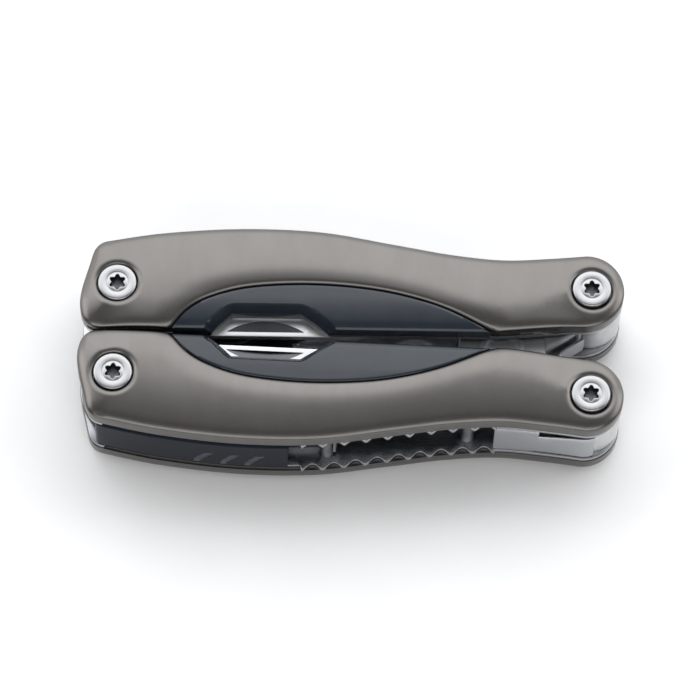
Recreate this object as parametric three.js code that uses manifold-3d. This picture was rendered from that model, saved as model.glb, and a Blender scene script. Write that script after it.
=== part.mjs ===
// A folding multi tool lying folded on its side: a needle-nose plier head between two handles, each
// with crowned aluminium scales, steel liners, a black lens-shaped inlay, fold-out tools and a back lock.
// Millimetres. +X runs from the tool ends to the plier pivots, +Y from the front handle to the back
// handle, +Z up through the thickness. The origin is the middle of the tool's underside.
//
// Each handle is drawn in its own frame: the origin on its plier pivot, x towards the rounded end and
// y away from the other handle. The front handle is the back handle's mirror image.
import * as THREE from "three";
import { mergeVertices } from "three/addons/utils/BufferGeometryUtils.js";
import Module from "manifold-3d";

const wasm = await Module();
wasm.setup();

// ---------------------------------------------------------------- driving dimensions
const THICKNESS = 22; // whole tool, scale to scale
const SCALE_T = 4.5; // a scale at its crown
const LIP = 2.5; // straight edge of a scale below its crown
const LINER_T = 1.2;
const PIN_SPAN = 91; // plier pivot to tool pivot
const PIVOT_X = 45.71; // the two plier pivots
const PIVOT_Y = 10.85;
const HANDLE_TILT = 1.01 * (Math.PI / 180); // the tool ends lean together
const INNER_Y = -8.9; // straight edge that faces the other handle
const EDGE_INSET = 0.12; // liners, lever and stop plate sit this far inside the scale's outline
const AXLE_R = 2.6;
const AXLE_BORE_R = 2.78;
const HEAD_R = 3.72; // screws
const SHANK_R = 1.5;
const HEAD_TOP = 21.6;
const HEAD_T = 2;
const COUNTERBORE_R = 4.4;
const TANG_R = 6.3; // round end of every fold-out tool
const JAW_PIVOT = new THREE.Vector2(28.81, 0);
const LEVER_PIN = [-76, 7.9];
const LEVER_PIN_R = 1.25;
const STANDOFFS = [
  [-49.8, 8.2],
  [-22.9, 3.7],
];
const STANDOFF_R = 1.3;
const TENON_R = 0.8;
const RUNNING_GAP = 0.15;

const SCALE_Z = THICKNESS - SCALE_T; // underside of a top scale
const CHANNEL = [SCALE_T + LINER_T, SCALE_Z - LINER_T]; // between the liners
const MIDDLE_Z = THICKNESS / 2;
const AXLE_Z = [SCALE_T + 0.1, SCALE_Z - 0.1];

// Layers of the tool stack on each tool pivot.
const LAYER = {
  low: [5.8, 7.4],
  high: [14.6, 16.2],
  thick: [8.4, 13.6],
  midLow: [8, 10.4],
  midHigh: [11.6, 14],
};

// ---------------------------------------------------------------- solids and meshes
function solidOf(geometry) {
  const g = geometry.index ? geometry.toNonIndexed() : geometry.clone();
  const bare = new THREE.BufferGeometry().setAttribute(
    "position",
    g.getAttribute("position"),
  );
  const merged = mergeVertices(bare, 1e-4);
  return new wasm.Manifold(
    new wasm.Mesh({
      numProp: 3,
      vertProperties: merged.attributes.position.array,
      triVerts: new Uint32Array(merged.index.array),
    }),
  );
}

function geometryOf(solid) {
  const m = solid.getMesh();
  const g = new THREE.BufferGeometry();
  const xyz = new Float32Array(m.numVert * 3);
  for (let i = 0; i < m.numVert; i++)
    xyz.set(m.vertProperties.subarray(i * m.numProp, i * m.numProp + 3), i * 3);
  g.setAttribute("position", new THREE.BufferAttribute(xyz, 3));
  g.setIndex(new THREE.BufferAttribute(m.triVerts, 1));
  g.computeVertexNormals();
  return g;
}

const vec = (points) => points.map(([x, y]) => new THREE.Vector2(x, y));

// An upright prism of a 2-D outline, given as points or a Shape.
function prism(outline, [z0, z1]) {
  const shape =
    outline instanceof THREE.Shape ? outline : new THREE.Shape(vec(outline));
  const g = new THREE.ExtrudeGeometry(shape, {
    depth: z1 - z0,
    bevelEnabled: false,
    curveSegments: 10,
  });
  return solidOf(g.translate(0, 0, z0));
}

function rod(x, y, radius, [z0, z1], sides = 16) {
  const g = new THREE.CylinderGeometry(radius, radius, z1 - z0, sides);
  return solidOf(g.rotateX(Math.PI / 2).translate(x, y, (z0 + z1) / 2));
}

// A solid of revolution about an upright axis from [radius, z] points listed upwards.
function turned(profile, sides = 20) {
  const g = new THREE.LatheGeometry(vec(profile), sides);
  return solidOf(g.rotateX(Math.PI / 2));
}

const block = (x0, x1, y0, y1, z0, z1) =>
  solidOf(
    new THREE.BoxGeometry(x1 - x0, y1 - y0, z1 - z0).translate(
      (x0 + x1) / 2,
      (y0 + y1) / 2,
      (z0 + z1) / 2,
    ),
  );

const joined = (first, ...rest) => rest.reduce((a, b) => a.add(b), first);
const cut = (first, ...rest) => rest.reduce((a, b) => a.subtract(b), first);

// The same solid for the mirrored front handle.
const sided = (solid, side) => (side > 0 ? solid : solid.mirror([0, 1, 0]));

// ---------------------------------------------------------------- the handle's outline
const OUTER_EDGE = new THREE.SplineCurve(
  vec([
    [-0.8, 7.4],
    [-8, 6.75],
    [-17, 6.3],
    [-27, 7.3],
    [-38, 9.25],
    [-52, 11.65],
    [-67, 12.15],
    [-82, 11.05],
    [-93, 9.2],
  ]),
);

function handleShape() {
  const s = new THREE.Shape();
  s.moveTo(-94.2, INNER_Y);
  s.lineTo(-20, INNER_Y);
  s.bezierCurveTo(-14, INNER_Y, -7, -7.6, -1.5, -7.55);
  s.absellipse(-1.5, 0, 7.8, 7.55, -Math.PI / 2, 0, false);
  s.absellipse(-0.8, 0, 7.1, 7.4, 0, Math.PI / 2, false);
  s.splineThru(OUTER_EDGE.points.slice(1));
  s.quadraticCurveTo(-95.4, 8.75, -96, 6);
  s.bezierCurveTo(-96.8, 2.6, -97.9, -0.2, -98.1, -3.1);
  s.bezierCurveTo(-98.2, -6.5, -97.1, INNER_Y, -94.2, INNER_Y);
  return s;
}

// Points round the outline, inset by a distance along each point's normal.
function handleOutline(inset = 0, divisions = 4) {
  const points = handleShape().getPoints(divisions);
  const loop = points.filter(
    (p, i) => p.distanceTo(points[(i + 1) % points.length]) > 0.05,
  );
  return loop.map((p, i) => {
    const before = loop[(i + loop.length - 1) % loop.length];
    const after = loop[(i + 1) % loop.length];
    const along = after.clone().sub(before).normalize();
    return [p.x - along.y * inset, p.y + along.x * inset];
  });
}

// Height of the outline's outer side at x, on the end ellipse or by stepping along the spline.
function outerAt(x) {
  if (x > -0.8) return 7.4 * Math.sqrt(1 - ((x + 0.8) / 7.1) ** 2);
  const points = OUTER_EDGE.getPoints(160);
  const i = points.findIndex((p) => p.x <= x);
  if (i <= 0) return points[Math.max(i, 0)].y;
  const [a, b] = [points[i - 1], points[i]];
  return a.y + ((b.y - a.y) * (a.x - x)) / (a.x - b.x);
}

// Points along the outer side from x0 to x1, moved inwards by a distance.
function outerRun(x0, x1, inset, steps) {
  return Array.from({ length: steps + 1 }, (_, i) => {
    const x = x0 + ((x1 - x0) * i) / steps;
    return [x, outerAt(x) - inset];
  });
}

// ---------------------------------------------------------------- crowned slab
const CROWN_RUN = 8.5; // the crown rises over this distance from the edge
const CROWN_RISE = 1.5;
const EDGE_ROUND = 0.9; // the side wall turns into the crown over this distance

function edgeDistance(x, y, loop) {
  let best = Infinity;
  loop.forEach(([ax, ay], i) => {
    const [bx, by] = loop[(i + 1) % loop.length];
    const [dx, dy] = [bx - ax, by - ay];
    const t = THREE.MathUtils.clamp(
      ((x - ax) * dx + (y - ay) * dy) / (dx * dx + dy * dy),
      0,
      1,
    );
    best = Math.min(best, Math.hypot(x - ax - t * dx, y - ay - t * dy));
  });
  return best;
}

// Height of the outer surface above the side wall, at a distance from the edge.
function crownAt(distance) {
  const t = Math.min(distance / CROWN_RUN, 1);
  const turn = Math.min(distance / EDGE_ROUND, 1);
  const edge = (THICKNESS - SCALE_Z - LIP - CROWN_RISE) * Math.sqrt(turn * (2 - turn));
  return edge + CROWN_RISE * t * (2 - t);
}

// Where the outline crosses a line of constant x: [inner y, outer y].
function widthAt(x, loop) {
  const ys = [];
  loop.forEach(([ax, ay], i) => {
    const [bx, by] = loop[(i + 1) % loop.length];
    if (ax <= x !== bx <= x) ys.push(ay + ((by - ay) * (x - ax)) / (bx - ax));
  });
  return [Math.min(...ys), Math.max(...ys)];
}

// A slab with the handle's outline, flat below and crowned above, as a loft of cross-sections.
// Its top is lowered by sink for the inlay, whose surface lies below the scale's.
function crownedSlab(sink = 0) {
  const loop = handleOutline(0, 6);
  const xs = loop.map((p) => p[0]);
  const [x0, x1] = [Math.min(...xs) + 0.02, Math.max(...xs) - 0.02];
  const stations = [
    x0,
    x0 + 0.3,
    x0 + 0.9,
    x0 + 2,
    x0 + 3.6,
    ...Array.from({ length: 12 }, (_, i) => x0 + 6.5 + ((x1 - x0 - 13) * i) / 11),
    x1 - 4.4,
    x1 - 2.6,
    x1 - 1.2,
    x1 - 0.4,
    x1,
  ];
  const across = [0, 0.05, 0.14, 0.27, 0.42, 0.58, 0.73, 0.86, 0.95, 1];
  const rings = stations.map((x) => {
    const [inner, outer] = widthAt(x, loop);
    const lip = SCALE_Z + LIP - sink;
    const top = across.map((v) => {
      const y = inner + (outer - inner) * v;
      return [x, y, lip + crownAt(edgeDistance(x, y, loop))];
    });
    return [[x, outer, SCALE_Z], [x, inner, SCALE_Z], ...top];
  });
  const size = rings[0].length;
  const at = (i, j) => rings[i][(j + size) % size];
  const faces = [];
  for (let i = 0; i + 1 < rings.length; i++)
    for (let j = 0; j < size; j++) {
      faces.push(at(i, j), at(i + 1, j + 1), at(i, j + 1));
      faces.push(at(i, j), at(i + 1, j), at(i + 1, j + 1));
    }
  for (let j = 1; j + 1 < size; j++) {
    faces.push(at(0, 0), at(0, j), at(0, j + 1));
    const last = rings.length - 1;
    faces.push(at(last, 0), at(last, j + 1), at(last, j));
  }
  const g = new THREE.BufferGeometry().setAttribute(
    "position",
    new THREE.Float32BufferAttribute(faces.flat(), 3),
  );
  return solidOf(g);
}

// ---------------------------------------------------------------- scales and inlays
const LENS_EDGE = [
  [-80.7, INNER_Y],
  [-77.4, -5.1],
  [-73, -2.5],
  [-66, -0.5],
  [-56, 0.3],
  [-46, -0.1],
  [-37, -1.5],
  [-28, -4.3],
  [-18.8, INNER_Y],
];
const WINDOW = [
  [-72.8, INNER_Y],
  [-68.8, -5.2],
  [-55.6, -5.2],
  [-50.4, INNER_Y],
];
const PAST_EDGE = INNER_Y - 3; // cutters run out past the inner edge

function lensShape(inset) {
  const curve = new THREE.SplineCurve(vec(LENS_EDGE)).getPoints(18);
  const edge = curve.map((p) => [p.x, p.y - inset]);
  const shifted = edge.filter(([x]) => x > -80.7 + inset && x < -18.8 - inset);
  return [[shifted[0][0], PAST_EDGE], ...shifted, [shifted.at(-1)[0], PAST_EDGE]];
}

const windowShape = () => [
  [WINDOW[0][0] - 3.2, PAST_EDGE],
  ...WINDOW.slice(1, 3),
  [WINDOW[3][0] + 4.2, PAST_EDGE],
];

const PINS = [
  [0, 0],
  [-PIN_SPAN, 0],
];

const REBATE_Z = 19.3; // the scale is cut away below this along its inner edge

function topScale() {
  const counterbores = PINS.flatMap(([x, y]) => [
    rod(x, y, COUNTERBORE_R, [HEAD_TOP - HEAD_T - 0.1, THICKNESS + 1], 20),
    rod(x, y, SHANK_R + 0.4, [SCALE_Z - 1, THICKNESS], 10),
  ]);
  const rebate = block(-100, 10, PAST_EDGE, INNER_Y + 1, SCALE_Z - 1, REBATE_Z);
  return cut(
    crownedSlab(),
    rebate,
    prism(lensShape(0), [SCALE_Z - 1, THICKNESS + 1]),
    ...counterbores,
  );
}

const INLAY_GAP = 0.18;
const INLAY_SINK = 0.75;

function topInlay() {
  const body = crownedSlab(INLAY_SINK).intersect(
    prism(lensShape(INLAY_GAP), [SCALE_Z - 1, THICKNESS + 1]),
  );
  return cut(body, prism(windowShape(), [SCALE_Z - 1, THICKNESS + 1]));
}

// ---------------------------------------------------------------- liners
const SCALLOPS = { from: -54.5, to: -17.6, count: 9, depth: 1.1 };

function liner() {
  const plate = handleOutline(EDGE_INSET).filter(
    ([x, y]) => y < 0 || x < SCALLOPS.from || x > SCALLOPS.to,
  );
  const waves = [];
  const perWave = 4;
  for (let i = 0; i <= SCALLOPS.count * perWave; i++) {
    const share = i / (SCALLOPS.count * perWave);
    const x = SCALLOPS.to + (SCALLOPS.from - SCALLOPS.to) * share;
    const swing = (1 - Math.cos((2 * Math.PI * i) / perWave)) / 2;
    waves.push([x, outerAt(x) + 0.25 - SCALLOPS.depth * swing]);
  }
  const after = plate.findIndex(([x, y]) => y > 0 && x < SCALLOPS.from);
  plate.splice(after, 0, ...waves);
  const z = [SCALE_Z - LINER_T, SCALE_Z];
  const through = [z[0] - 1, z[1] + 1];
  return cut(
    prism(plate, z),
    prism(windowShape(), through),
    ...PINS.map(([x, y]) => rod(x, y, AXLE_BORE_R, through)),
    rod(...LEVER_PIN, LEVER_PIN_R + RUNNING_GAP, through, 12),
    ...STANDOFFS.map(([x, y]) => rod(x, y, TENON_R + 0.12, through, 12)),
  );
}

// The same piece turned over for the underside.
const underside = (solid) =>
  solid.mirror([0, 0, 1]).translate([0, 0, THICKNESS]);

// ---------------------------------------------------------------- fasteners
function torxSocket([z0, z1]) {
  const lobes = 6;
  const points = Array.from({ length: lobes * 2 }, (_, i) => {
    const angle = (Math.PI * i) / lobes + Math.PI / 2;
    const r = i % 2 ? 1.15 : 1.75;
    return [r * Math.cos(angle), r * Math.sin(angle)];
  });
  return prism(points, [z0, z1]);
}

function topScrew() {
  const under = HEAD_TOP - HEAD_T;
  const chamfer = 0.3;
  const body = turned(
    [
      [0, AXLE_Z[1] - 3.6],
      [SHANK_R, AXLE_Z[1] - 3.6],
      [SHANK_R, under],
      [HEAD_R, under],
      [HEAD_R, HEAD_TOP - chamfer],
      [HEAD_R - chamfer, HEAD_TOP],
      [0, HEAD_TOP],
    ],
    18,
  );
  return cut(body, torxSocket([HEAD_TOP - 1.4, HEAD_TOP + 1]));
}

const sleeve = () =>
  cut(
    rod(0, 0, AXLE_R, AXLE_Z),
    rod(0, 0, SHANK_R + 0.15, [0, THICKNESS], 10),
  );

const washer = ([z0, z1]) =>
  cut(
    rod(0, 0, 4.6, [z0 + 0.05, z1 - 0.05]),
    rod(0, 0, AXLE_BORE_R, [0, THICKNESS]),
  );

const standoff = () =>
  turned(
    [
      [0, AXLE_Z[0]],
      [TENON_R, AXLE_Z[0]],
      [TENON_R, CHANNEL[0] + 0.05],
      [STANDOFF_R, CHANNEL[0] + 0.05],
      [STANDOFF_R, CHANNEL[1] - 0.05],
      [TENON_R, CHANNEL[1] - 0.05],
      [TENON_R, AXLE_Z[1]],
      [0, AXLE_Z[1]],
    ],
    12,
  );

// ---------------------------------------------------------------- back of the handle
const LEVER_X = [-94.1, -57.1];
const NOSE_Y = TANG_R + 0.2;

function lockLever() {
  const outline = [
    ...outerRun(LEVER_X[1], -92.6, EDGE_INSET, 14),
    [LEVER_X[0], 8.4],
    [LEVER_X[0], NOSE_Y],
    [-88.6, NOSE_Y],
    [-86.8, 7.8],
    [-79.4, 7.5],
    [-77.7, 6.1],
    [-76, 5.6],
    [-74.3, 6.1],
    [-72.8, 7.5],
    [LEVER_X[1], 8.4],
  ];
  const grip = [-73.6, -68.5, -63.8].map((x) => {
    const groove = new THREE.BoxGeometry(1.1, 2, 4.4);
    groove.rotateY(0.55).translate(x, outerAt(x) + 0.1, 8.8);
    return solidOf(groove);
  });
  return cut(
    prism(outline, [CHANNEL[0] + 0.2, CHANNEL[1] - 0.2]),
    rod(...LEVER_PIN, LEVER_PIN_R + RUNNING_GAP, [0, THICKNESS], 16),
    ...grip,
  );
}

const leverPin = () => rod(...LEVER_PIN, LEVER_PIN_R, AXLE_Z, 16);

// A flat strip that follows points in the XY plane, standing across the channel.
function strip(points, thickness, z) {
  const curve = new THREE.SplineCurve(vec(points)).getPoints(points.length * 2);
  const side = (sign) =>
    curve.map((p, i) => {
      const a = curve[Math.max(i - 1, 0)];
      const b = curve[Math.min(i + 1, curve.length - 1)];
      const along = b.clone().sub(a).normalize();
      const push = (sign * thickness) / 2;
      return [p.x - along.y * push, p.y + along.x * push];
    });
  return prism([...side(1), ...side(-1).reverse()], z);
}

const lockSpring = () =>
  strip(
    [
      [-48.3, 9.1],
      [-48.05, 7.7],
      [-49, 6.5],
      [-50.9, 6.2],
      [-57.5, 6.7],
      [-65, 7.2],
    ],
    0.45,
    [MIDDLE_Z - 3, MIDDLE_Z + 3],
  );

const PLATE_X = [-18, 1.4];

function stopPlate() {
  const sheet = 0.8;
  const outline = [
    ...outerRun(PLATE_X[0], PLATE_X[1], EDGE_INSET, 10),
    ...outerRun(PLATE_X[0], PLATE_X[1], EDGE_INSET + sheet, 10).reverse(),
  ];
  const [z0, z1] = CHANNEL;
  const past = 2;
  const stepX = -9.3;
  const right = PLATE_X[1] + past;
  const slope = new THREE.BoxGeometry(14, 14, 4).translate(7, 6, 2);
  slope.rotateY(-0.15).translate(stepX, 0, z1 - 2.5);
  return cut(
    prism(outline, [z0, z1]),
    block(PLATE_X[0] - past, right, 0, 12, z0 - past, z0 + 0.3),
    block(stepX - 0.8, right, 0, 12, z0 - past, z0 + 0.8),
    solidOf(slope),
  );
}

// ---------------------------------------------------------------- fold-out tools
// Drawn about their pivot, stowed: x towards the plier head, y towards the handle's back.
const SPINE_Y = -8.7;
const NICK = [
  [21, -7.8],
  [24, -6.15],
  [28.5, -5.5],
  [33, -6.15],
  [36, -7.8],
];

// A tool blank: its outline joined to the round tang, with the pivot bore and the lock notch.
function blank(outline, z) {
  return cut(
    joined(rod(0, 0, TANG_R, z, 24), prism(outline, z)),
    rod(0, 0, AXLE_BORE_R, [z[0] - 1, z[1] + 1]),
    block(-1.3, 1.3, -TANG_R - 2, -TANG_R + 1.3, z[0] - 1, z[1] + 1),
  );
}

const nailNick = (z) => prism(NICK, [z[1] - 0.5, z[1] + 1]);

function knife(z) {
  const outline = [
    [3.4, -5.2],
    [8, SPINE_Y],
    [43.5, SPINE_Y],
    [49.5, -7.3],
    [55, -3.6],
    [51.5, -0.2],
    [46.5, 2.6],
    [40, 4],
    [16.5, 4.4],
    [15.4, 2.9],
    [13.4, 2.9],
    [11.8, 4.9],
    [3.6, 5],
  ];
  return cut(blank(outline, z), nailNick(z));
}

function file(z) {
  const outline = [
    [3.4, -5.2],
    [8, SPINE_Y],
    [46, SPINE_Y],
    [51.5, -7],
    [54, -4.4],
    [53, -1],
    [48.5, 1],
    [16, 2.6],
    [12, 4.9],
    [3.6, 5],
  ];
  return cut(blank(outline, z), nailNick(z));
}

function saw(z) {
  const teeth = [];
  const pitch = 2.4;
  for (let i = 0; i < 14; i++) {
    const x = 50.6 - i * pitch;
    const y = 1.2 + i * 0.1;
    teeth.push([x, y + 1.7], [x - pitch * 0.5, y]);
  }
  const outline = [
    [3.4, -5.2],
    [8, SPINE_Y],
    [45, SPINE_Y],
    [52.4, -5.6],
    [53, -1.5],
    ...teeth,
    [16, 3],
    [12, 4.9],
    [3.6, 5],
  ];
  return blank(outline, z);
}

function serratedBlade(z) {
  const scallops = [];
  const pitch = 4.4;
  for (let i = 0; i < 7; i++) {
    const x = 47 - i * pitch;
    scallops.push([x, 3.4], [x - 1.1, 2.3], [x - 3.3, 2.3]);
  }
  const outline = [
    [3.4, -5.2],
    [8, SPINE_Y],
    [42, SPINE_Y],
    [48.5, -6.6],
    [53.5, -1.6],
    [51.5, 1],
    ...scallops,
    [15.6, 3.2],
    [12, 4.9],
    [3.6, 5],
  ];
  return blank(outline, z);
}

function phillipsDriver(z) {
  const shaft = new THREE.LatheGeometry(
    vec([
      [0, 9],
      [2.45, 9],
      [2.45, 25.4],
      [0.9, 31],
      [0, 31],
    ]),
    12,
  );
  shaft.rotateZ(-Math.PI / 2).translate(0, -4, MIDDLE_Z);
  const outline = [
    [3.4, -5.2],
    [7, -7.6],
    [14.5, -6.6],
    [14.5, -1.4],
    [10, 3.4],
    [3.6, 5],
  ];
  const flutes = [0, 1, 2, 3].map((i) => {
    const flute = new THREE.BoxGeometry(9, 1.6, 1.6);
    flute.translate(4.5, 1.75, 1.75).rotateX((Math.PI / 2) * i);
    return solidOf(flute.translate(24.6, -4, MIDDLE_Z));
  });
  const [z0, z1] = z;
  const tang = cut(blank(outline, [z0, z1]));
  return cut(joined(tang, solidOf(shaft)), ...flutes);
}

function canOpener(z) {
  const outline = [
    [3.4, -5.2],
    [8, -7.8],
    [24, -7.8],
    [27, -6.2],
    [31, -6.2],
    [31, -3.4],
    [27.2, -3.4],
    [25.2, 1.6],
    [22.6, 3.4],
    [21, 1.8],
    [21.8, -1],
    [19.4, -2],
    [16, 0.6],
    [12, 4.4],
    [3.6, 5],
  ];
  return blank(outline, z);
}

function bottleOpener(z) {
  const outline = [
    [3.4, -5.2],
    [8, -7.8],
    [19, -7.8],
    [30.6, -6.9],
    [31.4, -6.2],
    [31.4, -1.6],
    [30.4, -0.6],
    [27, -0.3],
    [27, 2.4],
    [24.8, 4.4],
    [22.4, 3.2],
    [23, 0.2],
    [20.6, -2.6],
    [17.2, -1.8],
    [15.6, 2.4],
    [12, 4.6],
    [3.6, 5],
  ];
  return blank(outline, z);
}

// ---------------------------------------------------------------- plier head
const PIVOT_BORE_R = 2.6;
const DISC_R = 8.5;
const LAP = [6.5, MIDDLE_Z - 0.05]; // the front half's disc lies under the back half's
const ARM_Z = [6.3, THICKNESS - 6.3];
const NOSE_Z = [8.1, THICKNESS - 8.1];
const NOSE = [
  [-5.2, 0.06],
  [-40, 0.06],
  [-40.2, 1],
  [-39.4, 1.9],
  [-31, 3.6],
  [-20, 5.6],
  [-12, 7.3],
  [-7, 7.6],
  [-4, 5],
];

// The front half, about the jaw pivot: tang, arm, disc and, on the far side, the jaw.
function plierHalf() {
  const tang = [PIVOT_X - JAW_PIVOT.x, -PIVOT_Y - JAW_PIVOT.y];
  const angle = Math.atan2(tang[1], tang[0]);
  const along = (d, w) => [
    d * Math.cos(angle) - w * Math.sin(angle),
    d * Math.sin(angle) + w * Math.cos(angle),
  ];
  const arm = [along(5, -4.7), along(19, -5.2), along(19, 4.4), along(5, 4.7)];
  const otherDisc = rod(0, 0, DISC_R + 0.4, [MIDDLE_Z - 0.05, THICKNESS], 28);
  const under = rod(0, 0, DISC_R + 0.4, [0, LAP[0]], 28);
  const body = cut(
    joined(
      rod(...tang, TANG_R - 0.2, ARM_Z, 24),
      prism(arm, ARM_Z),
      prism(NOSE, NOSE_Z),
    ),
    otherDisc,
    under,
  );
  return cut(
    joined(body, rod(0, 0, DISC_R, LAP, 28)),
    rod(0, 0, PIVOT_BORE_R, [0, THICKNESS]),
    rod(...tang, AXLE_BORE_R, [0, THICKNESS]),
  );
}

const pivotBolt = () =>
  turned([
    [0, 6.15],
    [2.42, 6.15],
    [2.42, 15.6],
    [4.3, 15.6],
    [4.3, 15.95],
    [0, 15.95],
  ]);

const pivotNut = () =>
  cut(rod(0, 0, 4.3, [6.05, 6.4]), rod(0, 0, 2.55, [0, THICKNESS]));

const plierSpring = () =>
  strip(
    [
      [16.4, -4.15],
      [13.4, -2.15],
      [11.9, -0.95],
      [11.3, 0],
      [11.9, 0.95],
      [13.4, 2.15],
      [16.4, 4.15],
    ],
    0.5,
    [MIDDLE_Z - 2.6, MIDDLE_Z + 2.6],
  );

// ---------------------------------------------------------------- materials
const finish = (color, roughness, metalness) =>
  new THREE.MeshStandardMaterial({ color, roughness, metalness });
const MATERIAL = {
  scale: finish(0x7d7772, 0.38, 1),
  inlay: finish(0x22252b, 0.32, 0),
  lever: finish(0x14171c, 0.2, 0),
  liner: finish(0xb9bcbf, 0.25, 1),
  tool: finish(0xc9cccf, 0.15, 1),
  plier: finish(0x9da1a6, 0.3, 1),
  screw: finish(0xd9dadb, 0.35, 1),
  spring: finish(0x84888c, 0.35, 1),
};

// ---------------------------------------------------------------- assembly
const root = new THREE.Group();

function add(parent, name, solid, material, x = 0, y = 0) {
  const mesh = new THREE.Mesh(geometryOf(solid), material);
  mesh.name = name;
  mesh.position.set(x, y, 0);
  parent.add(mesh);
}

const TOOLS = {
  front: [
    ["wood_saw", saw, LAYER.low],
    ["phillips_driver", phillipsDriver, LAYER.thick],
    ["knife_blade", knife, LAYER.high],
  ],
  back: [
    ["serrated_blade", serratedBlade, LAYER.low],
    ["can_opener", canOpener, LAYER.midLow],
    ["bottle_opener", bottleOpener, LAYER.midHigh],
    ["file_blade", file, LAYER.high],
  ],
};

function addHandle(name, side) {
  const handle = new THREE.Group();
  handle.position.set(PIVOT_X, PIVOT_Y * side, 0);
  handle.rotation.z = HANDLE_TILT * side;
  root.add(handle);
  const put = (part, solid, material, x = 0, y = 0) =>
    add(handle, `${name}_${part}`, sided(solid, side), material, x, y * side);

  put("top_scale", topScale(), MATERIAL.scale);
  put("bottom_scale", underside(topScale()), MATERIAL.scale);
  put("top_inlay", topInlay(), MATERIAL.inlay);
  put("bottom_inlay", underside(topInlay()), MATERIAL.inlay);
  put("top_liner", liner(), MATERIAL.liner);
  put("bottom_liner", underside(liner()), MATERIAL.liner);
  put("lock_lever", lockLever(), MATERIAL.lever);
  put("lock_lever_pin", leverPin(), MATERIAL.screw);
  put("lock_spring", lockSpring(), MATERIAL.spring);
  put("stop_plate", stopPlate(), MATERIAL.liner);
  STANDOFFS.forEach(([x, y], i) =>
    put(`standoff_${i + 1}`, standoff(), MATERIAL.screw, x, y),
  );
  ["plier", "tool"].forEach((end, i) => {
    const x = PINS[i][0];
    put(`${end}_axle`, sleeve(), MATERIAL.screw, x);
    put(`${end}_top_screw`, topScrew(), MATERIAL.screw, x);
    put(`${end}_bottom_screw`, underside(topScrew()), MATERIAL.screw, x);
  });
  TOOLS[name].forEach(([tool, make, layer], i) => {
    add(handle, tool, sided(make(layer), side), MATERIAL.tool, -PIN_SPAN);
    const next = TOOLS[name][i + 1];
    if (next)
      put(`washer_${i + 1}`, washer([layer[1], next[2][0]]), MATERIAL.screw, -PIN_SPAN);
  });
}

addHandle("front", -1);
addHandle("back", 1);

const head = new THREE.Group();
head.position.set(JAW_PIVOT.x, JAW_PIVOT.y, 0);
root.add(head);
add(head, "front_plier_half", plierHalf(), MATERIAL.plier);
add(head, "back_plier_half", sided(underside(plierHalf()), -1), MATERIAL.plier);
add(head, "plier_pivot_bolt", pivotBolt(), MATERIAL.plier);
add(head, "plier_pivot_nut", pivotNut(), MATERIAL.plier);
add(head, "plier_spring", plierSpring(), MATERIAL.spring);

export default root;
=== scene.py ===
"""A folding multi tool lying folded on a pale table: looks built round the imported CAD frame."""

import math

import bpy
import numpy as np
from mathutils import Matrix, Vector, geometry


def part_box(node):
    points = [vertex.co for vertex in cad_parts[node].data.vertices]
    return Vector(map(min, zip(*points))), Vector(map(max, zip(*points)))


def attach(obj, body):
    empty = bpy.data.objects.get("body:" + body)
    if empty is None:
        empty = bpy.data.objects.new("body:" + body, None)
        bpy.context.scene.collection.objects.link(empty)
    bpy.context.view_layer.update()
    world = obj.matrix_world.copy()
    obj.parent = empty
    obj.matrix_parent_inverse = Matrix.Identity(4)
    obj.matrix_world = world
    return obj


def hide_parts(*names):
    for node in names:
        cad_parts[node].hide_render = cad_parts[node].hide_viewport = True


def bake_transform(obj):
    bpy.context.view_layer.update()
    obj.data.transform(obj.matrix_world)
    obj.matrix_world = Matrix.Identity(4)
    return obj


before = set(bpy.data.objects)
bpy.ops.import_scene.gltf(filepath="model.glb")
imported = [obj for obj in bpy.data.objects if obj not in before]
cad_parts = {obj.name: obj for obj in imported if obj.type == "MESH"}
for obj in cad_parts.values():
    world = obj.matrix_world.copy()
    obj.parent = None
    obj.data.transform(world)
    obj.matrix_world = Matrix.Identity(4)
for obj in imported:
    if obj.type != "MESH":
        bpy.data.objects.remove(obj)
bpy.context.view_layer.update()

# ---- sizes, in millimetres
MM = 0.001
THICKNESS = 22.0
LIP_Z = 20.0  # top of a top scale's side wall
REBATE_Z = 19.3  # the scale is cut away below this along its inner edge
REBATE_WIDTH = 1.01
SCALE_Z = 17.5  # underside of a top scale
LINER_Z = 16.3
PIN_END_Z = 4.62  # lower end of the posts and of the lever's pin
EDGE_INSET = 0.12  # liners, lever and stop plate lie this far inside the scales
INNER_Y = -8.9
PIN_SPAN = 91.0
PINS = ((0.0, 0.0), (-PIN_SPAN, 0.0))
HEAD_R = 3.72
HEAD_TOP = 21.6
TOOL_FIT = 0.01  # a tool's faces lie this far inside its layer
BLOCK = 1500  # points handled at a time where distances are found
CLOSEST = 0.02  # points of an outline nearer than this are one point
ROW_SHARE = 0.97  # a row's point stays if every edge is at least this share of the row's distance away
GRID_RISE = 0.866  # from one row of the grid of triangles to the next
EXTRA_GAP = 0.16  # other points keep this far from the extra ones
EDGE_GAP = 0.03  # points inside the outline keep this far from its edges
LEVER_PIN = (-76.0, 7.9)
STANDOFFS = ((-49.8, 8.2), (-22.9, 3.7))
TANG_R = 6.3
BORE_R = 2.78


def centre_mm(node):
    low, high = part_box(node)
    return [(low[i] + high[i]) / 2 / MM for i in range(3)]


PLIER_PIN = centre_mm("back_plier_axle")
TOOL_PIN = centre_mm("back_tool_axle")
JAW_PIN = centre_mm("plier_pivot_bolt")
TILT = math.atan2(PLIER_PIN[1] - TOOL_PIN[1], PLIER_PIN[0] - TOOL_PIN[0])

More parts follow.
